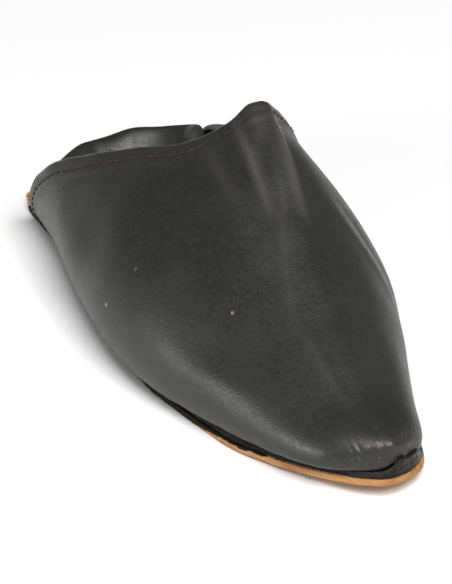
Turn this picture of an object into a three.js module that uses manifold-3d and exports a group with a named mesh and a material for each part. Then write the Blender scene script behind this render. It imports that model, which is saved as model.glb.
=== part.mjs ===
// Babouche slipper, right foot: a turned leather mule with a pointed toe, a tall soft vamp and a
// trodden-down heel. Millimetres. +X runs from heel to toe, +Y to the big-toe (medial) side, +Z up.
// The origin is on the floor, in the middle of the overall length and width.
import * as THREE from "three";
import { mergeVertices } from "three/addons/utils/BufferGeometryUtils.js";
import Module from "manifold-3d";

const wasm = await Module();
wasm.setup();

// ---------- driving dimensions ----------
const LENGTH = 258; // outsole, heel to toe tip
const ORIGIN_X = LENGTH / 2;
const ORIGIN_Y = -3.8; // the upper bulges further to the lateral side than to the medial
const GAP = 0.3; // between pieces that meet
const OUTSOLE = 2.5; // thickness of the tan bottom leather
const MIDSOLE = 2.3; // thickness of the black runner between bottom and upper
const TOE_BUILD = 5; // height of the lip the runner has in front of the toe
const TOE_BUILD_LENGTH = 4;
const LIP_SIDE = [-8, 4]; // across the tip, the lip rises from none at the first y to all of it at the second
const TOE_SPRING = 5.4; // lift of the sole at the toe tip
const SPRING_START = 0.72; // share of the length where that lift begins
const INSOLE = 1.8;
const WALL = 2; // upper leather with its lining
const TOE_WALL = 1.1; // the same at the toe tip
const HEM = 1.0; // extra thickness of the turned-in edge round the collar
const HEM_WIDTH = 7;
const FEATHER = 2.5; // how far the upper's foot stands in from the sole's edge
const SEAM_ROLL = 2; // height of the turned seam, where the upper rolls out over the sole's edge
const TOE_INSET = 2.2; // the runner stands proud of the upper by this much at the toe tip
const QUARTER = 1.7; // leather of the folded heel quarter
const QUARTER_FRONT = 78; // how far the folded flap reaches over the insole
const QUARTER_BOW = 12; // its front edge is bowed: this much shorter at the sides
const QUARTER_TUCK = 0.8; // room between the flap's sides and the upper's foot
const EDGE_ROOM = 0.3; // the quarter's wall at the heel stands this far in from the sole's edge
const INSOLE_ROOM = 1.4; // room between the insole and the foot of the upper
const INSOLE_TUCK = 0.5; // and as much again beside the quarter's wall
const MIDSOLE_INSET = 0.6;
const LIP_ROOM = 0.6; // how far the upper keeps behind the rise of that lip
const TOE_WIDTH = 8; // half width under which the roll and the swell die out
const TOE_ROLL = 0.3; // share of the seam's roll that is left at the toe tip
const TOE_DRAW = 8; // power with which the upper is drawn in towards the tip
const HEM_FULL = 0.7; // share of the hem's width that has its whole thickness
const TUCK_PLACE = [6, 15]; // where along the shoe the quarter's sides turn in, inside the upper
const INSOLE_WIDENS = [100, 84]; // where the insole narrows again to pass between the quarter's sides
const ROLL_POWER = 3; // how late the roll climbs on the medial side
const FRONT_EDGE = 0.2; // least height of the quarter's leather over its foot
const HOLLOW_PAST = 12; // the hollow under the quarter is cut through its front edge
const HOLLOW_BELOW = 4; // and through its foot
const LEAST_HALF_WIDTH = 0.4; // of a plate, near its ends

const MIDSOLE_Z = OUTSOLE + GAP;
const FEATHER_Z = MIDSOLE_Z + MIDSOLE + GAP;

// Sole outline: half widths on the little-toe (lateral) and big-toe (medial) side.
const SOLE = [
  { x: 0.0, lateral: 0, medial: 0 },
  { x: 0.08, lateral: 34, medial: 34.5 },
  { x: 0.22, lateral: 35, medial: 34.5 },
  { x: 0.4, lateral: 42, medial: 36.7 },
  { x: 0.58, lateral: 46.7, medial: 42 },
  { x: 0.72, lateral: 41.7, medial: 33.5 },
  { x: 0.8, lateral: 37, medial: 27.8 },
  { x: 0.85, lateral: 31.3, medial: 24 },
  { x: 0.95, lateral: 16.3, medial: 17.3 },
  { x: 1.0, lateral: 0, medial: 0 },
];
// Crest of the upper: its height and how far it leans to the medial side.
const CREST = [
  { x: 0.0, height: 84, lean: 16 },
  { x: 0.38, height: 88, lean: 18 },
  { x: 0.5, height: 82, lean: 13.5 },
  { x: 0.65, height: 61, lean: 7.5 },
  { x: 0.8, height: 41, lean: 2.5 },
  { x: 0.92, height: 27, lean: 0.5 },
  { x: 1.0, height: 19, lean: 0 },
];
// Shape of a cross-section, for each side: how far the turned seam stands over the sole's edge, how far
// the wall swells past the seam, the height of that swell as a share of the crest's, the width of its
// shoulder as a share of the seam's, and how far the shoulder lies below the crest.
const SECTION = {
  lateral: [
    { x: 0.0, over: 0.5, swell: 14, belly: 0.41, shoulder: 0.22, drop: 13 },
    { x: 0.3, over: 5.6, swell: 20.2, belly: 0.41, shoulder: 0.22, drop: 13 },
    { x: 0.45, over: 6.6, swell: 17.8, belly: 0.41, shoulder: 0.27, drop: 12 },
    { x: 0.65, over: 4.6, swell: 8, belly: 0.43, shoulder: 0.53, drop: 5 },
    { x: 0.8, over: 1.5, swell: 4.5, belly: 0.435, shoulder: 0.62, drop: 3 },
    { x: 0.95, over: 5.5, swell: 1, belly: 0.44, shoulder: 0.7, drop: 1 },
    { x: 1.0, over: 1, swell: 0, belly: 0.44, shoulder: 0.7, drop: 0.5 },
  ],
  medial: [
    { x: 0.0, over: 0.5, swell: 9, belly: 0.3, shoulder: 0.3, drop: 13 },
    { x: 0.3, over: 1.8, swell: 11, belly: 0.3, shoulder: 0.3, drop: 13 },
    { x: 0.45, over: 2.6, swell: 12, belly: 0.33, shoulder: 0.34, drop: 12 },
    { x: 0.65, over: 2.6, swell: 11, belly: 0.4, shoulder: 0.47, drop: 5 },
    { x: 0.95, over: 0, swell: 1, belly: 0.44, shoulder: 0.7, drop: 1 },
    { x: 1.0, over: 0, swell: 0, belly: 0.44, shoulder: 0.7, drop: 0.5 },
  ],
};
// Collar line: its place along the shoe, from the crest (0) down either side to the foot of the wall (1).
const COLLAR = [
  { down: 0.0, lateral: 121, medial: 121 },
  { down: 0.22, lateral: 115.5, medial: 112.8 },
  { down: 0.32, lateral: 108, medial: 107 },
  { down: 0.42, lateral: 90, medial: 88 },
  { down: 0.52, lateral: 71.5, medial: 68 },
  { down: 0.64, lateral: 51, medial: 44 },
  { down: 0.76, lateral: 39.3, medial: 23 },
  { down: 1.0, lateral: 27, medial: 16.5 },
];
// Roll of the folded heel quarter: its height above the floor on the lateral side, at the back and on the
// medial side, the width of its outer half, how far in from the edge it has come down to the insole, and
// where along the shoe it begins and ends to flatten.
const ROLL = { lateral: 11, back: 15, medial: 29, width: 3.5, fall: 15, flatFrom: 34, flat: 64 };

// ---------- interpolation ----------
// Monotone cubic through a table's column, so that no table needs more rows than its shape does.
function column(rows, key, name) {
  const n = rows.length;
  const x = rows.map((row) => row[key]);
  const y = rows.map((row) => row[name]);
  const step = x.slice(1).map((v, i) => v - x[i]);
  const slope = step.map((h, i) => (y[i + 1] - y[i]) / h);
  const tangent = x.map((_, i) => {
    if (i === 0) return slope[0];
    if (i === n - 1) return slope[n - 2];
    if (slope[i - 1] * slope[i] <= 0) return 0;
    const a = 2 * step[i] + step[i - 1];
    const b = step[i] + 2 * step[i - 1];
    return (a + b) / (a / slope[i - 1] + b / slope[i]);
  });
  return (at) => {
    const v = Math.min(Math.max(at, x[0]), x[n - 1]);
    let i = 0;
    while (i < n - 2 && v > x[i + 1]) i += 1;
    const h = step[i];
    const t = (v - x[i]) / h;
    return (
      (2 * t ** 3 - 3 * t ** 2 + 1) * y[i] +
      (t ** 3 - 2 * t ** 2 + t) * h * tangent[i] +
      (3 * t ** 2 - 2 * t ** 3) * y[i + 1] +
      (t ** 3 - t ** 2) * h * tangent[i + 1]
    );
  };
}
// The same, over an angle that runs 0 to pi from heel to toe, which rounds off both ends of an outline.
const angleOf = (share) => Math.acos(1 - 2 * Math.min(Math.max(share, 0), 1));
function rounded(rows, name) {
  const turned = rows.map((row) => ({ ...row, angle: angleOf(row.x) }));
  const f = column(turned, "angle", name);
  return (x) => f(angleOf(x / LENGTH));
}
const along = (rows, name) => {
  const f = column(rows, "x", name);
  return (x) => f(x / LENGTH);
};
const smooth = (a, b, v) => {
  const t = Math.min(Math.max((v - a) / (b - a), 0), 1); // a may be the larger of the two
  return t * t * (3 - 2 * t);
};

const halfWidth = { lateral: rounded(SOLE, "lateral"), medial: rounded(SOLE, "medial") };
const crestHeight = rounded(CREST, "height");
const crestLean = along(CREST, "lean");
const SHAPE = ["over", "swell", "belly", "shoulder", "drop"];
const shapeOf = (rows) => Object.fromEntries(SHAPE.map((name) => [name, along(rows, name)]));
const section = { lateral: shapeOf(SECTION.lateral), medial: shapeOf(SECTION.medial) };
const collar = { lateral: column(COLLAR, "down", "lateral"), medial: column(COLLAR, "down", "medial") };

function spring(x) {
  const t = Math.max((x / LENGTH - SPRING_START) / (1 - SPRING_START), 0);
  return TOE_SPRING * t * t;
}
function toeBuild(x, y) {
  return TOE_BUILD * smooth(LENGTH - TOE_BUILD_LENGTH, LENGTH, x) * smooth(...LIP_SIDE, y);
}
const featherZ = (x, y) => FEATHER_Z + spring(x) + toeBuild(x, y);

// ---------- meshes from grids ----------
const point = (x, y, z) => new THREE.Vector3(x - ORIGIN_X, y - ORIGIN_Y, z);
const reversed = (rows) => rows.map((row) => [...row].reverse());

// A geometry of the quads between rows of points; equal points become one vertex, and empty triangles go.
function skin(patches) {
  const triangles = [];
  for (const rows of patches)
    for (let i = 0; i + 1 < rows.length; i += 1)
      for (let j = 0; j + 1 < rows[i].length; j += 1) {
        const [a, b, c, d] = [rows[i][j], rows[i + 1][j], rows[i + 1][j + 1], rows[i][j + 1]];
        triangles.push([a, b, c], [a, c, d]);
      }
  const solid = triangles.filter(([a, b, c]) => !a.equals(b) && !b.equals(c) && !c.equals(a));
  return mergeVertices(new THREE.BufferGeometry().setFromPoints(solid.flat()), 1e-4);
}

function toManifold(geometry) {
  const mesh = { numProp: 3, vertProperties: geometry.attributes.position.array };
  mesh.triVerts = new Uint32Array(geometry.index.array);
  return new wasm.Manifold(new wasm.Mesh(mesh));
}

function fromManifold(solid) {
  const mesh = solid.getMesh();
  const positions = new Float32Array(mesh.numVert * 3);
  for (let i = 0; i < mesh.numVert; i += 1)
    positions.set(mesh.vertProperties.subarray(i * mesh.numProp, i * mesh.numProp + 3), i * 3);
  return new THREE.BufferGeometry()
    .setAttribute("position", new THREE.BufferAttribute(positions, 3))
    .setIndex(new THREE.BufferAttribute(mesh.triVerts, 1));
}

// A plate that follows the sole's outline, set in by inset(x), between two heights: functions of x and y.
function plate(inset, low, high, stations = 40, across = 4) {
  const layer = (height) =>
    Array.from({ length: stations + 1 }, (_, i) => {
      const x = (LENGTH * (1 - Math.cos((Math.PI * i) / stations))) / 2;
      const toe = i === 0 || i === stations;
      // the whole outline is drawn in towards its middle, so an inset plate is shorter as well as narrower
      const scale = 1 - (2 * inset(x)) / LENGTH;
      const px = LENGTH / 2 + (x - LENGTH / 2) * scale;
      const left = toe ? 0 : Math.max(halfWidth.lateral(x) - inset(x), LEAST_HALF_WIDTH);
      const right = toe ? 0 : Math.max(halfWidth.medial(x) - inset(x), LEAST_HALF_WIDTH);
      return Array.from({ length: across + 1 }, (_, j) => {
        const y = -left + ((left + right) * j) / across;
        return point(px, y, height(px, y));
      });
    });
  const bottom = layer(low);
  const top = layer(high);
  const edge = (j) => top.map((row, i) => [row[j], bottom[i][j]]);
  return skin([top, reversed(bottom), reversed(edge(0)), edge(across)]);
}

// ---------- upper ----------
// The upper's outer face. down is -1 at the lateral foot, 0 at the crest and 1 at the medial foot. The
// wall leaves the sole level, rolls out over its edge as a turned seam does, and then climbs to the crest.
const SEAM_SHARE = 0.08; // share of down that the roll takes

function upperPoint(x, down) {
  const side = down < 0 ? "lateral" : "medial";
  const sign = down < 0 ? -1 : 1;
  const { over, swell, belly, shoulder, drop } = section[side];
  const narrow = Math.min(halfWidth[side](x) / TOE_WIDTH, 1);
  const foot = halfWidth[side](x) - FEATHER * narrow;
  const crest = crestHeight(x);
  const middle = crestLean(x) * sign;
  const drawnIn = x - TOE_INSET * (x / LENGTH) ** TOE_DRAW;
  const base = new THREE.Vector2(foot, featherZ(drawnIn + LIP_ROOM, sign * foot));
  const roll = SEAM_ROLL * (TOE_ROLL + (1 - TOE_ROLL) * narrow);
  const seam = new THREE.Vector2(foot + (FEATHER + over(x)) * narrow, base.y + roll);
  const rise = belly(x) * (crest - seam.y);
  const lean = (swell(x) * narrow) / rise;
  const corner = new THREE.Vector2(Math.max(seam.x - lean * (seam.y - base.y), foot), base.y);
  const wall = new THREE.CubicBezierCurve(
    seam,
    new THREE.Vector2(seam.x + swell(x) * narrow, seam.y + rise),
    new THREE.Vector2(middle + (seam.x - middle) * shoulder(x), crest - drop(x)),
    new THREE.Vector2(middle, crest),
  );
  const up = 1 - Math.abs(down);
  const at =
    up < SEAM_SHARE
      ? new THREE.QuadraticBezierCurve(base, corner, seam).getPoint(up / SEAM_SHARE)
      : wall.getPoint((up - SEAM_SHARE) / (1 - SEAM_SHARE));
  return point(drawnIn, sign * at.x, at.y);
}

const UPPER_ALONG = 34;
const UPPER_UP = 19; // rings from the roll to the crest, on each side
const SEAM_RINGS = 3;

// The values of down that the rings lie at, from the lateral foot over the crest to the medial foot.
function ringPlaces() {
  const half = [];
  for (let j = 0; j < SEAM_RINGS; j += 1) half.push(1 - (SEAM_SHARE * j) / SEAM_RINGS);
  for (let j = 0; j < UPPER_UP; j += 1) half.push((1 - SEAM_SHARE) * (1 - j / UPPER_UP));
  return [...half.map((v) => -v), 0, ...half.reverse()];
}

function upperOuter() {
  const rings = ringPlaces();
  return Array.from({ length: UPPER_ALONG + 1 }, (_, i) => {
    const share = Math.sin((Math.PI / 2) * (i / UPPER_ALONG));
    return rings.map((ring) => {
      const down = i === UPPER_ALONG ? -Math.abs(ring) : ring; // both sides meet at the toe tip
      const start = (down < 0 ? collar.lateral : collar.medial)(Math.abs(down));
      const at = upperPoint(start + (LENGTH - start) * share, down);
      return i === UPPER_ALONG ? at.setY(-ORIGIN_Y) : at;
    });
  });
}

// The outer face's normal at a grid point, from the points round it.
function gridNormal(grid, i, j) {
  const along = grid[Math.min(i + 1, grid.length - 1)][j].clone().sub(grid[Math.max(i - 1, 0)][j]);
  const across = grid[i][Math.min(j + 1, grid[i].length - 1)].clone().sub(grid[i][Math.max(j - 1, 0)]);
  return along.cross(across).normalize();
}

// The inner face: each point moved in along the outer face's normal. The wall is thicker at the hem, and
// thins at the toe tip, where there is no room for it.
function upperInner(outer) {
  const last = outer[0].length - 1;
  return outer.map((row, i) =>
    row.map((at, j) => {
      const n = gridNormal(outer, i, j);
      if (j === 0 || j === last) n.set(0, 0, -1);
      if (i === UPPER_ALONG) n.set(1, 0, 0);
      const hem = 1 - smooth(HEM_WIDTH * HEM_FULL, HEM_WIDTH, at.distanceTo(outer[0][j]));
      const tip = smooth(LENGTH, LENGTH - TOE_BUILD_LENGTH, at.x + ORIGIN_X);
      return at.clone().addScaledVector(n, -(TOE_WALL + (WALL + HEM * hem - TOE_WALL) * tip));
    }),
  );
}

function upperGeometry() {
  const outer = upperOuter();
  const inner = upperInner(outer);
  const strip = (j) => outer.map((row, i) => [row[j], inner[i][j]]);
  const rim = [inner[0], outer[0]];
  return skin([outer, reversed(inner), reversed(strip(0)), strip(outer[0].length - 1), rim]);
}

// ---------- heel quarter ----------
// Inset of the quarter's wall: near the sole's edge at the back, and tucked inside the upper further forward.
const quarterInset = (x) => EDGE_ROOM + (FEATHER + GAP + QUARTER_TUCK) * smooth(...TUCK_PLACE, x);

const QUARTER_ALONG = 22;
const QUARTER_ACROSS = 26;

// The heel's outline as line segments, and how far a point lies inside it.
function quarterOutline(front) {
  const corner = (i, side) => {
    const x = front * (1 - Math.cos((Math.PI * i) / (2 * QUARTER_ALONG)));
    return [x, i ? halfWidth[side](x) - quarterInset(x) : 0];
  };
  const lateral = Array.from({ length: QUARTER_ALONG + 1 }, (_, i) => corner(i, "lateral"));
  const medial = Array.from({ length: QUARTER_ALONG + 1 }, (_, i) => corner(i, "medial"));
  return [...lateral.map(([x, w]) => [x, -w]).reverse(), ...medial];
}

function depthInside(outline, x, y) {
  const segments = outline.slice(1).map(([bx, by], k) => {
    const [ax, ay] = outline[k];
    const [dx, dy] = [bx - ax, by - ay];
    const t = ((x - ax) * dx + (y - ay) * dy) / (dx * dx + dy * dy || 1);
    const near = Math.min(Math.max(t, 0), 1);
    return Math.hypot(x - ax - near * dx, y - ay - near * dy);
  });
  return Math.min(...segments);
}

// Height of the quarter's outer face: up round the roll, over it, and down to the insole. The roll climbs
// late and steeply to the medial end of the collar.
function quarterHeight(depth, x, y) {
  const tilt = Math.min(Math.max(y / halfWidth.medial(ROLL.flatFrom), -1), 1);
  const toMedial = (ROLL.medial - ROLL.back) * tilt ** ROLL_POWER;
  const climb = tilt > 0 ? toMedial : (ROLL.back - ROLL.lateral) * tilt;
  const rest = FEATHER_Z + INSOLE + GAP + QUARTER;
  const peak = rest + (ROLL.back + climb - rest) * smooth(ROLL.flat, ROLL.flatFrom, x);
  const back = Math.max(1 - depth / ROLL.width, 0);
  const fallen = rest + (peak - rest) * (1 - smooth(ROLL.width, ROLL.fall, depth));
  return FEATHER_Z + (fallen - FEATHER_Z) * Math.sqrt(1 - back * back);
}

// A closed dome over the heel seat, under that face; inward sets it in and down all over, which gives the
// hollow under the leather.
function quarterDome(inward, front, foot) {
  const outline = quarterOutline(QUARTER_FRONT);
  const grid = (height) =>
    Array.from({ length: QUARTER_ALONG + 1 }, (_, i) => {
      const x = front * (1 - Math.cos((Math.PI * i) / (2 * QUARTER_ALONG)));
      const level = inward + (x * (front - inward)) / front;
      const bow = QUARTER_BOW * (x / front) ** 2;
      const reach = (side) => halfWidth[side](x - bow) - quarterInset(x - bow) - inward;
      const edge = (side) => (i ? Math.max(reach(side), 0) : 0);
      return Array.from({ length: QUARTER_ACROSS + 1 }, (_, j) => {
        const across = (1 - Math.cos((Math.PI * j) / QUARTER_ACROSS)) / 2;
        const y = -edge("lateral") * (1 - across) + edge("medial") * across;
        const at = level - bow * (2 * across - 1) ** 2;
        return point(at, y, height(at, y));
      });
    });
  const border = (x, y) => Math.min(depthInside(outline, x, y), QUARTER_FRONT);
  const roof = grid((x, y) => Math.max(quarterHeight(border(x, y), x, y) - inward, foot + FRONT_EDGE));
  const base = grid(() => foot);
  const side = (j) => roof.map((row, i) => [row[j], base[i][j]]);
  const lip = [roof[QUARTER_ALONG], base[QUARTER_ALONG]];
  const back = reversed([roof[0], base[0]]).reverse();
  return toManifold(skin([roof, reversed(base), reversed(side(0)), side(QUARTER_ACROSS), back, lip]));
}

function quarterGeometry() {
  const over = quarterDome(0, QUARTER_FRONT, FEATHER_Z);
  const under = quarterDome(QUARTER, QUARTER_FRONT + HOLLOW_PAST, FEATHER_Z - HOLLOW_BELOW);
  return fromManifold(over.subtract(under));
}

// ---------- assembly ----------
const leather = (color, roughness) => new THREE.MeshStandardMaterial({ color, roughness, metalness: 0 });
const tan = leather("#b9793c", 0.75);
const edgeBlack = leather("#141312", 0.6);
const black = leather("#2e2d2b", 0.5);
const lining = leather("#35302a", 0.8);

function insoleInset(x) {
  return FEATHER + GAP + INSOLE_ROOM + (QUARTER + GAP + INSOLE_TUCK) * smooth(...INSOLE_WIDENS, x);
}

const slipper = new THREE.Group();
function add(name, geometry, material) {
  const mesh = new THREE.Mesh(geometry, material);
  mesh.name = name;
  slipper.add(mesh);
}

add("outsole", plate(() => 0, spring, (x) => OUTSOLE + spring(x)), tan);
add(
  "midsole",
  plate(
    () => MIDSOLE_INSET,
    (x) => MIDSOLE_Z + spring(x),
    (x, y) => MIDSOLE_Z + MIDSOLE + spring(x) + toeBuild(x, y),
  ),
  edgeBlack,
);
add(
  "insole",
  plate(
    insoleInset,
    featherZ,
    (x, y) => featherZ(x, y) + INSOLE,
  ),
  lining,
);
add("upper", upperGeometry(), black);
add("heel_quarter", quarterGeometry(), black);

export default slipper;
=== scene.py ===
"""Babouche slipper, right foot: fine leather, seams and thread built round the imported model.

Lengths are in millimetres until a mesh is made. x runs from the heel (0) to the toe (LENGTH), y is positive
on the big-toe (medial) side, z is up from the floor. The shapes are worked out from the same tables as the
solids; the heel's roll, the tab at the collar and the lip at the toe are drawn more finely here.
"""
import math

import bmesh
import bpy
import numpy as np
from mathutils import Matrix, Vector, noise


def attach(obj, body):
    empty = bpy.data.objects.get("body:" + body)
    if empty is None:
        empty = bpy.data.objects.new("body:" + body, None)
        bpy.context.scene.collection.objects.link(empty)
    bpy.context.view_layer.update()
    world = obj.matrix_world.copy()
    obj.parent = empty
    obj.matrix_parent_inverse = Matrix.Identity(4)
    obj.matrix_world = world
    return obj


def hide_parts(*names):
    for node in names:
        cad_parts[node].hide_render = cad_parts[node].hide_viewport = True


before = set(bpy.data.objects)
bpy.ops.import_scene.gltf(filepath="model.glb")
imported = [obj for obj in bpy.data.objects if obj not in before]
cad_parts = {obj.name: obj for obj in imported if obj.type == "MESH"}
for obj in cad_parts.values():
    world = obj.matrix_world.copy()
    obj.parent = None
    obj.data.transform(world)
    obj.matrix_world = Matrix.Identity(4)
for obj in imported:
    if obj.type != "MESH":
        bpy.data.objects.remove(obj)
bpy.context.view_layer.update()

MM = 0.001
SAME_POINT = 2e-6  # metres: points this close become one
NO_LENGTH = 1e-6  # metres: edges this short go

# ---------------------------------------------------------------- sizes, as in the solids
LENGTH = 258.0
ORIGIN_Y = -3.8
GAP = 0.3
OUTSOLE = 2.5
MIDSOLE = 2.3
MIDSOLE_INSET = 0.6
TOE_BUILD = 5.0
TOE_BUILD_LENGTH = 4.0
LIP_SIDE = (-8.0, 4.0)
LIP_ROOM = 0.6
TOE_SPRING = 5.4
SPRING_START = 0.72
INSOLE = 1.8
WALL = 2.0
TOE_WALL = 1.1
HEM = 1.0
HEM_WIDTH = 7.0
HEM_FULL = 0.7
FEATHER = 2.5
SEAM_ROLL = 2.0
SEAM_SHARE = 0.08
TOE_INSET = 2.2
TOE_WIDTH = 8.0
TOE_ROLL = 0.3
TOE_DRAW = 8
QUARTER = 1.7
QUARTER_FRONT = 78.0
QUARTER_BOW = 12.0
QUARTER_TUCK = 0.8
EDGE_ROOM = 0.3
INSOLE_ROOM = 1.4
INSOLE_TUCK = 0.5
MIDSOLE_Z = OUTSOLE + GAP
FEATHER_Z = MIDSOLE_Z + MIDSOLE + GAP

SOLE = {
    "x": [0.0, 0.08, 0.22, 0.4, 0.58, 0.72, 0.8, 0.85, 0.95, 1.0],
    "lateral": [0, 34, 35, 42, 46.7, 41.7, 37, 31.3, 16.3, 0],
    "medial": [0, 34.5, 34.5, 36.7, 42, 33.5, 27.8, 24, 17.3, 0],
}
CREST = {
    "x": [0.0, 0.38, 0.5, 0.65, 0.8, 0.92, 1.0],
    "height": [84, 88, 82, 61, 41, 27, 19],
    "lean": [16, 18, 13.5, 7.5, 2.5, 0.5, 0],
}
SECTION = {
    "lateral": {
        "x": [0.0, 0.3, 0.45, 0.65, 0.8, 0.95, 1.0],
        "over": [0.5, 5.6, 6.6, 4.6, 1.5, 5.5, 1],
        "swell": [14, 20.2, 17.8, 8, 4.5, 1, 0],
        "belly": [0.41, 0.41, 0.41, 0.43, 0.435, 0.44, 0.44],
        "shoulder": [0.22, 0.22, 0.27, 0.53, 0.62, 0.7, 0.7],
        "drop": [13, 13, 12, 5, 3, 1, 0.5],
    },
    "medial": {
        "x": [0.0, 0.3, 0.45, 0.65, 0.95, 1.0],
        "over": [0.5, 1.8, 2.6, 2.6, 0, 0],
        "swell": [9, 11, 12, 11, 1, 0],
        "belly": [0.3, 0.3, 0.33, 0.4, 0.44, 0.44],
        "shoulder": [0.3, 0.3, 0.34, 0.47, 0.7, 0.7],
        "drop": [13, 13, 12, 5, 1, 0.5],
    },
}
COLLAR = {
    "down": [0.0, 0.22, 0.32, 0.42, 0.52, 0.64, 0.76, 1.0],
    "lateral": [121, 115.5, 108, 90, 71.5, 51, 39.3, 27],
    "medial": [121, 112.8, 107, 88, 68, 44, 23, 16.5],
}
ROLL = {"back": 15, "width": 3.5, "fall": 15, "flat_from": 34, "flat": 64}
SIGN = {"lateral": -1.0, "medial": 1.0}


# ---------------------------------------------------------------- curves through the tables
def curve(xs, ys):
    """Monotone cubic through a table's points, for arrays."""
    x = np.array(xs, float)
    y = np.array(ys, float)
    step = np.diff(x)
    slope = np.diff(y) / step
    tangent = np.concatenate([slope[:1], np.zeros(len(x) - 2), slope[-1:]])
    for i in range(1, len(x) - 1):
        if slope[i - 1] * slope[i] > 0:
            a = 2 * step[i] + step[i - 1]
            b = step[i] + 2 * step[i - 1]
            tangent[i] = (a + b) / (a / slope[i - 1] + b / slope[i])

    def value(at):
        v = np.clip(at, x[0], x[-1])
        i = np.clip(np.searchsorted(x, v, side="right") - 1, 0, len(x) - 2)
        h = step[i]
        t = (v - x[i]) / h
        return (
            (2 * t**3 - 3 * t**2 + 1) * y[i]
            + (t**3 - 2 * t**2 + t) * h * tangent[i]
            + (3 * t**2 - 2 * t**3) * y[i + 1]
            + (t**3 - t**2) * h * tangent[i + 1]
        )

    return value


def angle_of(share):
    return np.arccos(1 - 2 * np.clip(share, 0, 1))


def rounded(table, name):
    value = curve(angle_of(np.array(table["x"])), table[name])
    return lambda x: value(angle_of(np.asarray(x) / LENGTH))


def along(table, name):
    value = curve(table["x"], table[name])
    return lambda x: value(np.asarray(x) / LENGTH)


def smooth(a, b, v):
    """0 at a and 1 at b, with level ends; a may be the larger of the two."""
    t = np.clip((v - a) / (b - a), 0, 1)
    return t * t * (3 - 2 * t)


def bell(distance, width):
    """1 at no distance, dying out over a few widths."""
    return np.exp(-((distance / width) ** 2))


half_width = {side: rounded(SOLE, side) for side in SIGN}
crest_height = rounded(CREST, "height")
crest_lean = along(CREST, "lean")
section = {
    side: {name: along(rows, name) for name in rows if name != "x"} for side, rows in SECTION.items()
}
collar = {side: curve(COLLAR["down"], COLLAR[side]) for side in SIGN}


def spring(x):
    t = np.maximum((x / LENGTH - SPRING_START) / (1 - SPRING_START), 0)
    return TOE_SPRING * t * t


def toe_build(x, y):
    return TOE_BUILD * smooth(LENGTH - TOE_BUILD_LENGTH, LENGTH, x) * smooth(*LIP_SIDE, y)


def feather_z(x, y):
    return FEATHER_Z + spring(x) + toe_build(x, y)


def drawn_in(x):
    return x - TOE_INSET * (x / LENGTH) ** TOE_DRAW


# ---------------------------------------------------------------- grids and meshes
def grid_normals(grid):
    """Unit normals of a grid of points, along its first axis cross its second."""
    n = np.cross(np.gradient(grid, axis=0), np.gradient(grid, axis=1))
    return n / np.maximum(np.linalg.norm(n, axis=2, keepdims=True), 1e-9)


def soft_noise(points, size, seed, octaves=2):
    """Smooth noise from -1 to 1 at each point, with bumps about size mm across."""
    shift = Vector((seed * 17.3, seed * 5.1, seed * 9.7))
    flat = points.reshape(-1, 3) / size
    values = [noise.fractal(Vector(p) + shift, 1.0, 2.0, octaves) for p in flat]
    return np.array(values).reshape(points.shape[:-1])


def mesh_from(name, patches, attributes):
    """One smooth mesh from grids that share their borders. attributes: name -> one array per patch."""
    points, faces, values = [], [], {key: [] for key in attributes}
    start = 0
    for k, grid in enumerate(patches):
        rows, columns = grid.shape[:2]
        index = np.arange(rows * columns).reshape(rows, columns) + start
        quads = np.stack([index[:-1, :-1], index[1:, :-1], index[1:, 1:], index[:-1, 1:]], axis=-1)
        faces.append(quads.reshape(-1, 4))
        points.append(grid.reshape(-1, 3))
        for key in values:
            values[key].append(np.asarray(attributes[key][k], float).reshape(-1))
        start += rows * columns
    points = np.concatenate(points)
    points = (points - np.array([LENGTH / 2, ORIGIN_Y, 0])) * MM
    mesh = bpy.data.meshes.new(name)
    mesh.from_pydata(points.tolist(), [], np.concatenate(faces).tolist())
    for key, arrays in values.items():
        layer = mesh.attributes.new(key, "FLOAT", "POINT")
        layer.data.foreach_set("value", np.concatenate(arrays).astype(np.float32))
    work = bmesh.new()
    work.from_mesh(mesh)
    bmesh.ops.remove_doubles(work, verts=work.verts, dist=SAME_POINT)
    bmesh.ops.dissolve_degenerate(work, edges=work.edges, dist=NO_LENGTH)
    bmesh.ops.recalc_face_normals(work, faces=work.faces)
    work.to_mesh(mesh)
    work.free()
    mesh.polygons.foreach_set("use_smooth", [True] * len(mesh.polygons))
    piece = bpy.data.objects.new(name, mesh)
    bpy.context.scene.collection.objects.link(piece)
    return piece


CHUNK = 4000  # points measured at a time, so that memory stays small


def distance_to_line(points, line):
    """Least distance from each point to a polyline's points, which lie close together."""
    flat = points.reshape(-1, 3)
    best = np.full(len(flat), np.inf)
    for first in range(0, len(flat), CHUNK):
        part = flat[first : first + CHUNK]
        gap = np.linalg.norm(part[:, None, :] - line[None, :, :], axis=2)
        best[first : first + CHUNK] = gap.min(axis=1)
    return best.reshape(points.shape[:-1])


def densely(line, count):
    """A polyline's points and more between them, count in all."""
    own = np.linspace(0, 1, len(line))
    wanted = np.linspace(0, 1, count)
    return np.stack([np.interp(wanted, own, line[:, k]) for k in range(line.shape[1])], axis=1)


def unit(vectors):
    return vectors / np.linalg.norm(vectors, axis=-1, keepdims=True)


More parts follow.
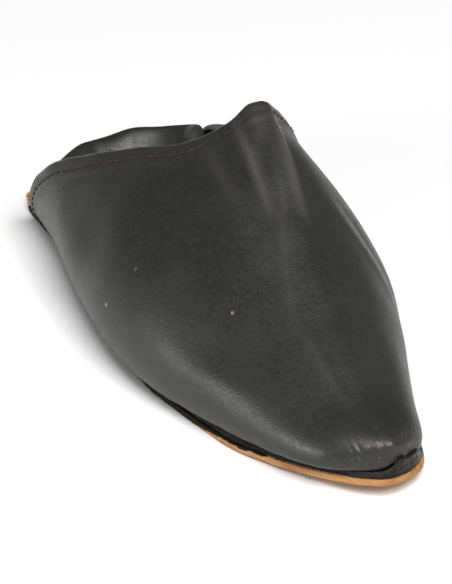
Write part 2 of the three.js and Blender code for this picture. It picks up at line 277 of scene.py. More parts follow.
# ---------------------------------------------------------------- the upper's form
def section_point(side, x, up):
    """Outward distance and height on one side of the outer face; up is 0 at the foot, 1 at the crest."""
    form = section[side]
    width = half_width[side](x)
    narrow = np.minimum(width / TOE_WIDTH, 1)
    foot = width - FEATHER * narrow
    crest = crest_height(x)
    middle = crest_lean(x) * SIGN[side]
    base_z = feather_z(drawn_in(x) + LIP_ROOM, SIGN[side] * foot)
    seam_y = foot + (FEATHER + form["over"](x)) * narrow
    seam_z = base_z + SEAM_ROLL * (TOE_ROLL + (1 - TOE_ROLL) * narrow)
    swell = form["swell"](x) * narrow
    rise = form["belly"](x) * (crest - seam_z)
    corner_y = np.maximum(seam_y - swell / rise * (seam_z - base_z), foot)
    t = np.clip(up / SEAM_SHARE, 0, 1)
    roll_y = (1 - t) ** 2 * foot + 2 * t * (1 - t) * corner_y + t * t * seam_y
    roll_z = (1 - t * t) * base_z + t * t * seam_z
    u = np.clip((up - SEAM_SHARE) / (1 - SEAM_SHARE), 0, 1)
    weights = [(1 - u) ** 3, 3 * u * (1 - u) ** 2, 3 * u * u * (1 - u), u**3]
    shoulder_y = middle + (seam_y - middle) * form["shoulder"](x)
    wall_y = sum(w * v for w, v in zip(weights, [seam_y, seam_y + swell, shoulder_y, middle]))
    wall_z = sum(w * v for w, v in zip(weights, [seam_z, seam_z + rise, crest - form["drop"](x), crest]))
    on_roll = up < SEAM_SHARE
    return np.where(on_roll, roll_y, wall_y), np.where(on_roll, roll_z, wall_z)


def surface(x, down):
    """Points of the outer face, for places along the shoe and down from the crest (-1 lateral, 1 medial)."""
    x, down = np.broadcast_arrays(np.asarray(x, float), np.asarray(down, float))
    lateral = section_point("lateral", x, 1 - np.abs(down))
    medial = section_point("medial", x, 1 - np.abs(down))
    y = np.where(down < 0, -lateral[0], medial[0])
    z = np.where(down < 0, lateral[1], medial[1])
    return np.stack([drawn_in(x), y, z], axis=-1)


UPPER_ALONG = 170  # steps from the collar to the toe
UPPER_SIDE = 92  # rings on each side of the crest
ROLL_RINGS = 10  # of them in the turned seam


def upper_places():
    """Grids of x and down over the whole outer face."""
    roll = 1 - SEAM_SHARE * np.linspace(0, 1, ROLL_RINGS, endpoint=False)
    wall = (1 - SEAM_SHARE) * np.linspace(1, 0, UPPER_SIDE - ROLL_RINGS, endpoint=False)
    half = np.concatenate([roll, wall])
    down = np.concatenate([-half, [0], half[::-1]])
    start = np.where(down < 0, collar["lateral"](np.abs(down)), collar["medial"](np.abs(down)))
    share = np.sin(np.pi / 2 * np.linspace(0, 1, UPPER_ALONG + 1))
    x = start[None, :] + (LENGTH - start)[None, :] * share[:, None]
    return x, np.broadcast_to(down, x.shape)


CREASE_POINTS = 70  # along each crease
CREASE_SPARSE = 6  # every so many of them are enough to find what lies near it
# Creases: each runs straight on the surface from one place to another, given as x and down, with
# its half width, its height (a trough's is negative) and how much painted highlight lies along the fold.
# Places are in mm from the heel and shares of the way down a side.
CREASES = [
    # name, from (x, down), to (x, down), half width, height, painted highlight
    ("apex, edge of the fold", (121, 0.05), (168, 0.03), 1.8, 0.7, 1.6),
    ("apex, second edge", (120, -0.14), (160, -0.10), 1.8, 0.7, 1.2),
    ("apex, highlighted tab", (118, -0.04), (136, -0.04), 5.0, 0.2, 0.6),
    ("apex, trough between", (121, -0.05), (146, -0.09), 2.8, -0.6, 0.2),
    ("apex, third streak", (119, -0.25), (152, -0.21), 2.4, 0.3, 0.35),
    ("apex, trough below", (119, -0.20), (150, -0.15), 2.0, -0.4, 0.0),
    ("centre fold, rear", (146, -0.02), (196, -0.16), 2.4, 0.3, 0.25),
    ("centre fold, toe", (196, -0.16), (240, -0.12), 2.0, 0.3, 0.2),
    ("belly fold", (60, -0.72), (110, -0.78), 7.0, 0.7, 0.0),
    ("belly trough", (70, -0.60), (125, -0.66), 9.0, -0.6, 0.0),
    ("ball, first wave", (165, -0.62), (205, -0.45), 6.0, -0.4, 0.0),
    ("ball, second wave", (178, -0.72), (214, -0.55), 5.0, 0.3, 0.0),
    ("medial walking crease", (150, 0.30), (176, 0.62), 3.0, -0.5, 0.0),
    ("medial walking ridge", (158, 0.28), (184, 0.60), 3.0, 0.4, 0.2),
    ("medial belly fold", (60, 0.62), (120, 0.70), 8.0, 0.5, 0.0),
]


def creases_on(grid):
    """Height of the creases, and how much painted highlight lies on the leather, at each point of a grid on
    the upper.
    """
    total = np.zeros(grid.shape[:-1])
    painted_highlights = np.zeros(grid.shape[:-1])
    for _name, (x0, down0), (x1, down1), width, height, painted_highlight in CREASES:
        t = np.linspace(0, 1, CREASE_POINTS)
        line = surface(x0 + (x1 - x0) * t, down0 + (down1 - down0) * t)
        sparse = line[::CREASE_SPARSE]
        near = np.linalg.norm(grid[..., None, :] - sparse, axis=-1).min(axis=-1) < 4 * width + 6
        gap = np.linalg.norm(grid[near][:, None, :] - line[None], axis=2)
        # a crease is deepest at its middle, and shallow at both ends
        fade = np.sin(np.pi * t[gap.argmin(axis=1)] * 0.94 + 0.12) ** 0.7
        shape = bell(gap.min(axis=1), width) * fade
        total[near] += height * shape
        painted_highlights[near] += painted_highlight * shape
    return total, painted_highlights


TOE_TIP = np.array([LENGTH, 0.0, 16.0])
WRINKLE_HEIGHT = 0.2
WRINKLE_REACH = 9  # from the tip to where the puckers are highest
WRINKLE_LENGTH = 7
WRINKLES = 55  # puckers to a radian round the tip


def toe_wrinkles(grid):
    """Short puckers that gather towards the toe tip, in patches."""
    away = grid - TOE_TIP
    turn = np.arctan2(away[..., 1], away[..., 2] + 30)
    gathers = np.sin(turn * WRINKLES + 3 * np.sin(turn * 17))
    here = bell(np.linalg.norm(away, axis=-1) - WRINKLE_REACH, WRINKLE_LENGTH)
    return WRINKLE_HEIGHT * gathers * here * smooth(-0.3, 0.6, soft_noise(grid, 5, 8))


CREST_REACH = 18  # rings softened on each side of the crest
CREST_PASSES = 48
CREST_PULL = 0.75  # how far each pass goes, and how much of the lost height is given back
CREST_LIFT = 6.0  # rings over which it is given back


def soften_crest(grid):
    """The crest is a fold in leather: round it, and keep most of its height."""
    middle = UPPER_SIDE
    ridge = grid[:, middle, 2].copy()
    band = slice(middle - CREST_REACH, middle + CREST_REACH + 1)
    rings = np.arange(-CREST_REACH, CREST_REACH + 1)
    weight = np.cos(np.linspace(-np.pi / 2, np.pi / 2, len(rings)))[None, :, None] ** 0.5
    for _ in range(CREST_PASSES):
        wider = grid[:, middle - CREST_REACH - 1 : middle + CREST_REACH + 2]
        mean = 0.5 * (wider[:, :-2] + wider[:, 2:])
        grid[:, band] += CREST_PULL * weight * (mean - grid[:, band])
    lost = ridge - grid[:, middle, 2]
    grid[:, band, 2] += CREST_PULL * lost[:, None] * bell(rings, CREST_LIFT)[None]


TAB_RISE = 2.4  # how much the tab's lateral corner stands up
TAB_DOWN = -0.085  # where that corner is on the collar
TAB_WIDTH = 0.05
TAB_END = (146, 122)  # along the shoe, the tab rises from nothing at the first to its height at the second


def collar_tab(x, down):
    """The fold ends at the collar in a flat tab, which leans to the lateral side."""
    return TAB_RISE * bell(down - TAB_DOWN, TAB_WIDTH) * smooth(*TAB_END, x)


STITCH_IN = 5.4  # from the folded edge to the stitches
STITCH_GROOVE = 0.28
HEM_STEP = 8.8  # from the folded edge to the inner edge of the hem's turn
HEM_RISE = 0.34
HEM_FURROW = 0.16  # beyond the step
HEM_WAVE = 0.35
EDGE_DROP = 0.9  # how far the face turns down at the folded edge


def hem_relief(grid, edge):
    """The turned edge, the groove that the stitches lie in, and the step and waves of the hem."""
    step = HEM_RISE * (1 - smooth(HEM_STEP - 0.9, HEM_STEP + 0.5, edge))
    furrow = HEM_FURROW * bell(edge - HEM_STEP - 1.2, 1.3)
    waves = HEM_WAVE * soft_noise(grid, 9, 4) * bell(edge, 7)
    return step - furrow + waves - STITCH_GROOVE * bell(edge - STITCH_IN, 0.8) - EDGE_DROP * bell(edge, 0.8)


def leather_relief(grid, edge, down, folds):
    """Creases, the leather's broad unevenness, the toe's puckers and those above the turned seam."""
    broad = 0.9 * soft_noise(grid, 55, 1, 1) + 0.28 * soft_noise(grid, 19, 2, 1)
    free = smooth(1, 0.9, np.abs(down))  # nothing moves at the foot, where the sole holds it
    pucker = 0.16 * soft_noise(grid * (1, 1, 0.35), 4.2, 3) * smooth(0.80, 0.94, np.abs(down))
    return free * (smooth(-4, 6, edge) * folds + broad * smooth(0, 12, edge) + toe_wrinkles(grid)) + pucker


def upper_outer():
    """The outer face, its distance from the collar's edge, its place along the shoe and how much painted
    highlight lies on it.
    """
    x, down = upper_places()
    grid = surface(x, down)
    grid[-1, :, 1] = 0
    soften_crest(grid)
    grid[..., 2] += collar_tab(x, down)
    edge = distance_to_line(grid, grid[0])
    folds, painted_highlights = creases_on(grid)
    height = hem_relief(grid, edge) + leather_relief(grid, edge, down, folds)
    height[-1] = 0
    return grid + grid_normals(grid) * height[..., None], edge, x, painted_highlights


RIM_STEPS = 9
RIM_ROUND = 0.8  # how far the folded edge bulges, as a share of half its thickness


def folded_edge(outer, inner):
    """A rounded strip from the outer face to the inner, round the collar."""
    centre = (outer[0] + inner[0]) / 2
    half = np.linalg.norm(outer[0] - inner[0], axis=1, keepdims=True) / 2
    back = unit(outer[0] - outer[1])
    turns = np.linspace(0, math.pi, RIM_STEPS)
    arc = [
        centre + (outer[0] - centre) * math.cos(a) + back * (half * math.sin(a) * RIM_ROUND) for a in turns
    ]
    return np.stack(arc)


def build_upper():
    outer, edge, x, painted_highlights = upper_outer()
    normal = grid_normals(outer)
    normal[:, 0] = (0, 0, -1)
    normal[:, -1] = (0, 0, -1)
    normal[-1] = (1, 0, 0)
    hem = 1 - smooth(HEM_WIDTH * HEM_FULL, HEM_WIDTH * (2 - HEM_FULL), edge)
    room = smooth(LENGTH, LENGTH - TOE_BUILD_LENGTH, outer[..., 0])
    thick = TOE_WALL + (WALL + HEM * hem - TOE_WALL) * room
    inner = outer - normal * thick[..., None]
    feet = [np.stack([outer[:, j], inner[:, j]]) for j in (0, -1)]
    patches = [outer, inner, folded_edge(outer, inner), *feet]
    zeros = [np.zeros(p.shape[:2]) for p in patches]
    share = x / LENGTH
    attributes = {
        "edge_mm": [edge, edge, zeros[2], np.stack([edge[:, 0]] * 2), np.stack([edge[:, -1]] * 2)],
        "place": [share, share, zeros[2] + 0.3, np.stack([share[:, 0]] * 2), np.stack([share[:, -1]] * 2)],
        "lining": [zeros[0], zeros[1] + 1, zeros[2], zeros[3] + 1, zeros[4] + 1],
        # painted highlight along the crest, the tab and the creases, on the outer face only
        "painted_highlight": [painted_highlights, *zeros[1:]],
    }
    return mesh_from("upper_leather", patches, attributes), outer, edge


# ---------------------------------------------------------------- thread
TUBE_BLUNT = 6  # the higher, the blunter the ends of a piece of thread
TUBE_TIP = 0.0004  # square of the share of the radius that is left at its ends


def tube_patches(path, radius, sides=6):
    """A closed tube along a short path: one grid, its ends drawn to a point."""
    path = np.asarray(path, float)
    tangent = np.gradient(path, axis=0)
    tangent /= np.linalg.norm(tangent, axis=1, keepdims=True)
    reference = np.array([0.0, 0.0, 1.0])
    if abs(tangent[len(path) // 2] @ reference) > 0.9:
        reference = np.array([0.0, 1.0, 0.0])
    side = np.cross(tangent, reference)
    side /= np.linalg.norm(side, axis=1, keepdims=True)
    other = np.cross(tangent, side)
    share = np.linspace(0, 1, len(path))
    girth = radius * np.sqrt(np.clip(1 - (2 * share - 1) ** TUBE_BLUNT, TUBE_TIP, 1))
    turn = np.linspace(0, 2 * np.pi, sides + 1)
    ring = np.cos(turn)[None, :, None] * side[:, None] + np.sin(turn)[None, :, None] * other[:, None]
    return path[:, None] + ring * girth[:, None, None]


STITCH_PITCH = 3.6
STITCH_LENGTH = 2.7
STITCH_POINTS = 9
STITCH_MARGIN = 2.0  # from the end of the line to the first stitch
THREAD = 0.34  # radius of the stitching thread
THREAD_RISE = 0.34  # how far a stitch bows out
THREAD_SUNK = 0.12  # how far its ends lie in the leather


def stitch_line(outer, edge):
    """The line on the outer face that lies STITCH_IN from the folded edge, with the normal there."""
    normal = grid_normals(outer)
    points, normals = [], []
    for j in range(ROLL_RINGS - 2, outer.shape[1] - ROLL_RINGS + 2):
        i = np.nonzero(edge[:, j] >= STITCH_IN)[0][0]
        t = (STITCH_IN - edge[i - 1, j]) / (edge[i, j] - edge[i - 1, j])
        points.append(outer[i - 1, j] + (outer[i, j] - outer[i - 1, j]) * t)
        normals.append(normal[i, j])
    return np.array(points), np.array(normals)


def build_stitches(outer, edge):
    line, normals = stitch_line(outer, edge)
    travelled = np.concatenate([[0], np.cumsum(np.linalg.norm(np.diff(line, axis=0), axis=1))])
    bow = np.sin(np.linspace(0, np.pi, STITCH_POINTS)) ** 0.5
    last = travelled[-1] - STITCH_MARGIN - STITCH_LENGTH
    patches, shade = [], []
    for count, at in enumerate(np.arange(STITCH_MARGIN, last, STITCH_PITCH)):
        wobble = 0.12 * math.sin(count * 2.4)
        where = np.linspace(at, at + STITCH_LENGTH + wobble, STITCH_POINTS)
        path = np.stack([np.interp(where, travelled, line[:, k]) for k in range(3)], axis=1)
        out = np.stack([np.interp(where, travelled, normals[:, k]) for k in range(3)], axis=1)
        tube = tube_patches(path + out * (THREAD_RISE * bow - THREAD_SUNK)[:, None], THREAD)
        patches.append(tube)
        tone = 0.5 + 0.5 * math.sin(count * 1.7) * math.cos(count * 0.61)
        shade.append(np.full(tube.shape[:2], tone))
    return mesh_from("collar_stitches", patches, {"tone": shade})


TACK_RING = 15  # the ring of the upper, low on each side, whose collar end the thread is whipped over
TACK_LOOPS = 5
TACK_PITCH = 1.1
TACK_THREAD = 0.6  # radius of the waxed thread
TACK_HALF = 2.2  # half the way across the folded edge, round which a loop goes
TACK_BACK = 2.3  # how far a loop stands back from the edge
TACK_IN = 1.3  # from the outer face to the middle of the folded edge
TACK_SLANT = 0.35
TACK_PAST = 0.7  # how far past a half circle a loop goes at each end, in radians


def build_tacks(outer):
    """Thick waxed thread whipped over the folded edge, low on each side of the collar."""
    patches, shade = [], []
    normal = grid_normals(outer)
    turn = np.linspace(-TACK_PAST, math.pi + TACK_PAST, 16)[:, None]
    for j in (TACK_RING, outer.shape[1] - 1 - TACK_RING):
        ahead = unit(outer[0, j + 1] - outer[0, j - 1])
        back = unit(outer[0, j] - outer[2, j])
        out = normal[1, j]
        loop = out * TACK_HALF * np.cos(turn) + back * (TACK_BACK * np.sin(turn) + 0.2)
        loop = loop + ahead * TACK_SLANT * turn
        for k in range(TACK_LOOPS):
            place = outer[0, j] - out * TACK_IN + ahead * (TACK_PITCH * (k - TACK_LOOPS / 2))
            tube = tube_patches(place + loop, TACK_THREAD, 8)
            patches.append(tube)
            shade.append(np.full(tube.shape[:2], 0.95 - 0.3 * (k % 2)))
    return mesh_from("thread_tacks", patches, {"tone": shade})


# ---------------------------------------------------------------- soles
PLATE_STATIONS = 220  # along the sole
PLATE_ACROSS = 16
PLATE_LEVELS = 9  # up its edge


def plate_rings(inset, low, high, corner, rough, seed):
    """Cross-section rings of a flat piece that follows the sole's outline, its edge rounded and rough."""
    x = LENGTH * (1 - np.cos(np.pi * np.linspace(0, 1, PLATE_STATIONS + 1))) / 2
    px = LENGTH / 2 + (x - LENGTH / 2) * (1 - 2 * inset(x) / LENGTH)
    edges = {}
    for side, sign in SIGN.items():
        width = np.maximum(half_width[side](x) - inset(x), 0)
        width[0] = width[-1] = 0
        outline = np.stack([px, sign * width], axis=1)
        ahead = np.gradient(outline, axis=0)
        out = np.stack([-ahead[:, 1], ahead[:, 0]], axis=1) * sign
        out /= np.maximum(np.linalg.norm(out, axis=1, keepdims=True), 1e-9)
        out[0] = (-1, 0)
        out[-1] = (1, 0)
        share = np.linspace(0, 1, PLATE_LEVELS)
        bottom_z = low(px, outline[:, 1])
        deep = high(px, outline[:, 1]) - bottom_z
        z = bottom_z[:, None] + deep[:, None] * share[None]
        from_corner = np.minimum(share, 1 - share) * deep.mean()
        tuck = -corner * (1 - np.sqrt(1 - (1 - np.clip(from_corner / corner, 0, 1)) ** 2))
        points = np.concatenate([np.repeat(outline[:, None], PLATE_LEVELS, axis=1), z[..., None]], axis=2)
        # short fibres, which lie along the layers, and longer waves where the knife went
        ripple = rough * (soft_noise(points * (1, 1, 3), 2.6, seed) + 0.8 * soft_noise(points, 9, seed + 1))
        points[..., :2] += out[:, None] * (tuck[None] + ripple)[..., None]
        edges[side] = points
    left, right = edges["lateral"], edges["medial"]
    t = np.linspace(0, 1, PLATE_ACROSS + 1)[1:-1][None, :, None]
    bottom = left[:, :1] * (1 - t) + right[:, :1] * t
    top = right[:, -1:] * (1 - t) + left[:, -1:] * t
    bottom[..., 2] = low(bottom[..., 0], bottom[..., 1])
    top[..., 2] = high(top[..., 0], top[..., 1])
    return np.concatenate([left[:, ::-1], bottom, right, top, left[:, -1:]], axis=1)


def build_outsole():
    rings = plate_rings(
        inset=lambda x: 0 * x,
        low=lambda x, y: spring(x),
        high=lambda x, y: OUTSOLE + spring(x),
        corner=0.5,
        rough=0.22,
        seed=11,
    )
    return mesh_from("outsole_leather", [rings], {"place": [rings[..., 0] / LENGTH]})


LIP_EDGE = (3.5, 0.5)  # from the runner's edge, the lip rises from nothing at the first to its height
LIP_PLACE = (246, 254)  # and along the shoe
LIP_ACROSS = (-6, 6)  # and from the lateral side to the medial


def lip(x, y):
    """The runner's turned-up edge at the tip, which hugs the toe and is highest on the medial side."""
    from_edge = np.minimum(half_width["medial"](x) - y, 0.8 * (LENGTH - x))
    rise = TOE_BUILD * smooth(*LIP_EDGE, from_edge)
    return rise * smooth(*LIP_PLACE, x) * smooth(*LIP_ACROSS, y)


SPREAD_UNDER = 0.25  # the runner is pressed out to fill the gaps between the pieces, below it
SPREAD_OVER = 0.2  # and above it


def build_midsole():
    rings = plate_rings(
        inset=lambda x: MIDSOLE_INSET + 0 * x,
        low=lambda x, y: MIDSOLE_Z - SPREAD_UNDER + spring(x),
        high=lambda x, y: MIDSOLE_Z + MIDSOLE + SPREAD_OVER + spring(x) + lip(x, y),
        corner=0.5,
        rough=0.4,
        seed=21,
    )
    return mesh_from("midsole_edge", [rings], {"place": [rings[..., 0] / LENGTH]})


INSOLE_WIDENS = (100, 84)  # along the shoe, where the insole narrows again between the quarter's sides


def build_insole():
    tucked = QUARTER + GAP + INSOLE_TUCK
    rings = plate_rings(
        inset=lambda x: FEATHER + GAP + INSOLE_ROOM + tucked * smooth(*INSOLE_WIDENS, x),
        low=feather_z,
        high=lambda x, y: feather_z(x, y) + INSOLE,
        corner=0.6,
        rough=0.05,
        seed=31,
    )
    return mesh_from("insole_leather", [rings], {"place": [rings[..., 0] / LENGTH]})


# ---------------------------------------------------------------- heel quarter
# Along the shoe, where the quarter's sides turn in. On the medial side the leather first carries on outwards,
# into the end of the collar.
LATERAL_TUCK = (6, 15)
MEDIAL_TUCK = (26, 40)
ROLL_CLIMB = 3.5  # how much higher than at the back the roll is on the medial side
ROLL_END = 7.0  # and how much more it climbs forwards, to the collar's medial end
ROLL_FALL = 8.5  # and how much lower it is at the lateral end
ROLL_SHARPER = 2.0  # how much narrower its outer half is on the medial side
QUARTER_ROWS = 90
QUARTER_COLUMNS = 110
OUTLINE_POINTS = 160  # on each side of the quarter
UNWORN = 50  # mm from any folded edge: too far for wear to show
THINNED = 0.9  # the quarter's leather is thinned by wear, to this share
FOLD_HEIGHT = 0.22
FOLD_DEPTH = 7  # from the quarter's outline to where its folds are highest


def quarter_inset(x, tuck):
    return EDGE_ROOM + (FEATHER + GAP + QUARTER_TUCK) * smooth(*tuck, x)


def quarter_edge(side, x):
    """How far the quarter reaches to one side; nothing at the very back."""
    width = half_width[side](x) - quarter_inset(x, LATERAL_TUCK if side == "lateral" else MEDIAL_TUCK)
    width[0] = 0
    return width


def quarter_outline():
    """The quarter's edge seen from above, from its lateral front corner round the heel to its medial one."""
    x = QUARTER_FRONT * (1 - np.cos(np.pi / 2 * np.linspace(0, 1, OUTLINE_POINTS)))
    lateral = np.stack([x, -quarter_edge("lateral", x), 0 * x], axis=1)
    medial = np.stack([x, quarter_edge("medial", x), 0 * x], axis=1)
    return np.concatenate([lateral[::-1], medial[1:]])


def quarter_height(depth, x, y):
    """Height of the outer face: up round the roll, over it, and down to the insole."""
    tilt = np.clip(y / half_width["medial"](ROLL["flat_from"]), -1, 1)
    # the roll climbs forwards to meet the medial end of the collar, and is sharper there
    medial = smooth(0.2, 0.8, tilt)
    to_medial = ROLL_CLIMB * smooth(0, 0.5, tilt) + ROLL_END * medial * smooth(8, 30, x)
    to_lateral = -ROLL_FALL * smooth(0.1, 0.8, -tilt)
    width = ROLL["width"] - ROLL_SHARPER * medial * smooth(6, 16, x)
    rest = FEATHER_Z + INSOLE + GAP + QUARTER
    climb = np.where(tilt > 0, to_medial, to_lateral)
    peak = rest + (ROLL["back"] + climb - rest) * smooth(ROLL["flat"], ROLL["flat_from"], x)
    back = np.maximum(1 - depth / width, 0)
    fallen = rest + (peak - rest) * (1 - smooth(width, ROLL["fall"], depth))
    return FEATHER_Z + (fallen - FEATHER_Z) * np.sqrt(1 - back * back)


def quarter_plan():
    """The quarter seen from above, as a grid from the heel to its bowed front edge."""
    x = QUARTER_FRONT * (1 - np.cos(np.pi / 2 * np.linspace(0, 1, QUARTER_ROWS + 1)))
    across = (1 - np.cos(np.pi * np.linspace(0, 1, QUARTER_COLUMNS + 1))) / 2
    bow = QUARTER_BOW * (x / QUARTER_FRONT) ** 2
    left = quarter_edge("lateral", x - bow)
    right = quarter_edge("medial", x - bow)
    y = -left[:, None] * (1 - across) + right[:, None] * across
    at = x[:, None] - bow[:, None] * (2 * across - 1) ** 2
    return np.stack([at, y, 0 * y], axis=-1)


def quarter_folds(plan, depth):
    """Small folds that fan out over the roll, and the unevenness of the flap."""
    turn = np.arctan2(plan[..., 1], 30 - plan[..., 0])
    fan = FOLD_HEIGHT * np.sin(turn * 9 + 2 * np.sin(turn * 5)) + 0.3 * soft_noise(plan, 8, 41)
    flap = 0.25 * soft_noise(plan, 14, 42) * smooth(2, 8, depth)
    return (fan * bell(depth - FOLD_DEPTH, 5) + flap) * smooth(0, 3, depth)


def build_quarter():
    plan = quarter_plan()
    depth = distance_to_line(plan, densely(quarter_outline(), 1600))
    depth[0] = 0
    depth[:, 0] = depth[:, -1] = 0
    outer = plan.copy()
    outer[..., 2] = quarter_height(depth, plan[..., 0], plan[..., 1]) + quarter_folds(plan, depth)
    normal = grid_normals(outer)
    for j in (0, -1):
        normal[:, j] = 0
        normal[:, j, 1] = np.sign(plan[:, j, 1])
    normal[0] = (-1, 0, 0)
    inner = outer - normal * (QUARTER * THINNED)
    inner[..., 2] = np.maximum(inner[..., 2], FEATHER_Z)
    ends = [np.stack([outer[i], inner[i]]) for i in (-1, 0)]
    sides = [np.stack([outer[:, j], inner[:, j]]) for j in (0, -1)]
    patches = [outer, inner, *ends, *sides]
    zeros = [np.zeros(p.shape[:2]) for p in patches]
    attributes = {
        "edge_mm": [z + UNWORN for z in zeros],
        "place": [z + 0.1 for z in zeros],
        "lining": zeros,
        "painted_highlight": zeros,
    }
    return mesh_from("heel_quarter_leather", patches, attributes)


# ---------------------------------------------------------------- materials
class Nodes:
    """Short calls for building one material's node tree."""

    def __init__(self, name):
        self.material = bpy.data.materials.new(name)
        self.material.use_nodes = True
        self.tree = self.material.node_tree
        self.shader = self.tree.nodes["Principled BSDF"]

    def add(self, kind, inputs=None, **settings):
        node = self.tree.nodes.new(kind)
        for key, value in settings.items():
            setattr(node, key, value)
        for key, value in (inputs or {}).items():
            self.put(node.inputs[key], value)
        return node

    def put(self, socket, value):
        if isinstance(value, bpy.types.NodeSocket):
            self.tree.links.new(value, socket)
        else:
            socket.default_value = value

    def position(self):
        return self.add("ShaderNodeTexCoord").outputs["Object"]

    def attribute(self, name):
        return self.add("ShaderNodeAttribute", attribute_name=name).outputs["Fac"]

    def noise(self, scale, detail=4.0, rough=0.55, stretch=None):
        where = self.position()
        if stretch:
            where = self.add("ShaderNodeMapping", {"Vector": where, "Scale": stretch}).outputs[0]
        inputs = {"Vector": where, "Scale": scale, "Detail": detail, "Roughness": rough}
        return self.add("ShaderNodeTexNoise", inputs).outputs["Fac"]

    def cells(self, scale, feature="F1"):
        inputs = {"Vector": self.position(), "Scale": scale}
        return self.add("ShaderNodeTexVoronoi", inputs, feature=feature).outputs["Distance"]

    def math(self, operation, a, b=0.0, clamp=False):
        node = self.add("ShaderNodeMath", operation=operation, use_clamp=clamp)
        self.put(node.inputs[0], a)
        self.put(node.inputs[1], b)
        return node.outputs[0]

    def ramp(self, value, low, high, out_low=0.0, out_high=1.0):
        inputs = {"Value": value, "From Min": low, "From Max": high, "To Min": out_low, "To Max": out_high}
        return self.add("ShaderNodeMapRange", inputs, interpolation_type="SMOOTHSTEP").outputs["Result"]

    def mix(self, factor, a, b):
        node = self.add("ShaderNodeMix", data_type="RGBA")
        self.put(node.inputs["Factor"], factor)
        self.put(node.inputs["A"], a)
        self.put(node.inputs["B"], b)
        return node.outputs["Result"]

    def bump(self, height, strength, distance, normal=None):
        inputs = {"Height": height, "Strength": strength, "Distance": distance}
        if normal is not None:
            inputs["Normal"] = normal
        return self.add("ShaderNodeBump", inputs).outputs["Normal"]

    def finish(self, **sockets):
        for key, value in sockets.items():
            self.put(self.shader.inputs[key.replace("_", " ")], value)
        return self.material


def rgba(red, green, blue):
    return (red, green, blue, 1.0)


BLACK_DYE = (rgba(0.0105, 0.0105, 0.0088), rgba(0.0160, 0.0158, 0.0132))
BLACK_FINE = rgba(0.022, 0.0215, 0.0195)  # fine lighter flecks in the dye
BARE_EDGE = rgba(0.05, 0.043, 0.035)  # worn along the folded edge
SCUFFED = rgba(0.16, 0.075, 0.045)  # through to the leather, at the toe
CREASE_HIGHLIGHT = rgba(0.052, 0.05, 0.046)  # painted highlight along the crest, the tab and the creases
DUST = rgba(0.30, 0.26, 0.20)
LINING = rgba(0.030, 0.024, 0.019)
INSOLE_WORN = rgba(0.055, 0.043, 0.034)
TAN = (rgba(0.36, 0.175, 0.06), rgba(0.52, 0.275, 0.11))
TAN_LAYERS = rgba(0.24, 0.095, 0.03)
# near black, laid over the tan edge up to a line: nearly all of it at the heel and waist, less towards the
# toe
DARK_OVER_TAN = rgba(0.007, 0.006, 0.005)
RUNNER = (rgba(0.003, 0.003, 0.003), rgba(0.009, 0.008, 0.007))
CRUMBS = rgba(0.12, 0.07, 0.04)
STITCH_THREAD = (rgba(0.008, 0.005, 0.004), rgba(0.06, 0.024, 0.011))
TACK_THREAD_TONES = (rgba(0.10, 0.035, 0.01), rgba(0.62, 0.30, 0.09))


def black_leather():
    n = Nodes("black_leather")
    broad = n.noise(26, 3)
    fine = n.noise(420, 3)
    tone = n.mix(n.ramp(broad, 0.3, 0.7), *BLACK_DYE)
    tone = n.mix(n.ramp(fine, 0.35, 0.7, 0, 0.5), tone, BLACK_FINE)
    # wear: the dye is thinner along the folded edge, and scuffed through at the toe tip
    worn = n.math("MULTIPLY", n.ramp(n.attribute("edge_mm"), 1.4, 0.0), n.ramp(n.noise(160, 4), 0.45, 0.7))
    tone = n.mix(n.math("MULTIPLY", worn, 0.35), tone, BARE_EDGE)
    toe = n.ramp(n.attribute("place"), 0.972, 0.998)
    scuff = n.math("MULTIPLY", toe, n.ramp(n.noise(330, 5, 0.7), 0.56, 0.66))
    tone = n.mix(n.math("MULTIPLY", scuff, 0.75), tone, SCUFFED)
    # painted highlight: the crest, the collar's tab and the creases are made paler where light would catch
    # the folds
    tone = n.mix(n.math("MULTIPLY", n.attribute("painted_highlight"), 0.8, clamp=True), tone, CREASE_HIGHLIGHT)
    # dust and stray fibres: small pale specks, far apart
    specks = n.math("MULTIPLY", n.ramp(n.cells(90), 0.085, 0.05), n.ramp(n.noise(60, 2), 0.54, 0.60))
    tone = n.mix(n.math("MULTIPLY", specks, 0.8), tone, DUST)
    lining = n.attribute("lining")
    tone = n.mix(lining, tone, LINING)
    grain = n.bump(n.cells(1300, "SMOOTH_F1"), 0.3, 0.0002)
    pores = n.bump(n.noise(2600, 2), 0.25, 0.0001, grain)
    creping = n.bump(n.noise(330, 3), 0.07, 0.0004, pores)
    # the finish is duller in soft patches and fine flecks, and on the lining
    rough = n.ramp(n.noise(48, 4), 0.3, 0.7, 0.38, 0.47)
    rough = n.math("ADD", rough, n.ramp(n.noise(700, 3), 0.3, 0.7, -0.04, 0.05))
    rough = n.math("ADD", rough, n.math("MULTIPLY", lining, 0.3), clamp=True)
    return n.finish(
        Base_Color=tone,
        Roughness=rough,
        Normal=creping,
        Specular_IOR_Level=0.42,
        Sheen_Weight=0.03,
        Sheen_Roughness=0.5,
    )


def thread(name, dark, light):
    n = Nodes(name)
    tone = n.mix(n.attribute("tone"), dark, light)
    tone = n.mix(n.ramp(n.noise(900, 3), 0.4, 0.7, 0, 0.5), tone, dark)
    twist = n.add("ShaderNodeTexWave", {"Vector": n.position(), "Scale": 700.0, "Distortion": 3.0})
    return n.finish(Base_Color=tone, Roughness=0.7, Normal=n.bump(twist.outputs["Fac"], 0.5, 0.0002))


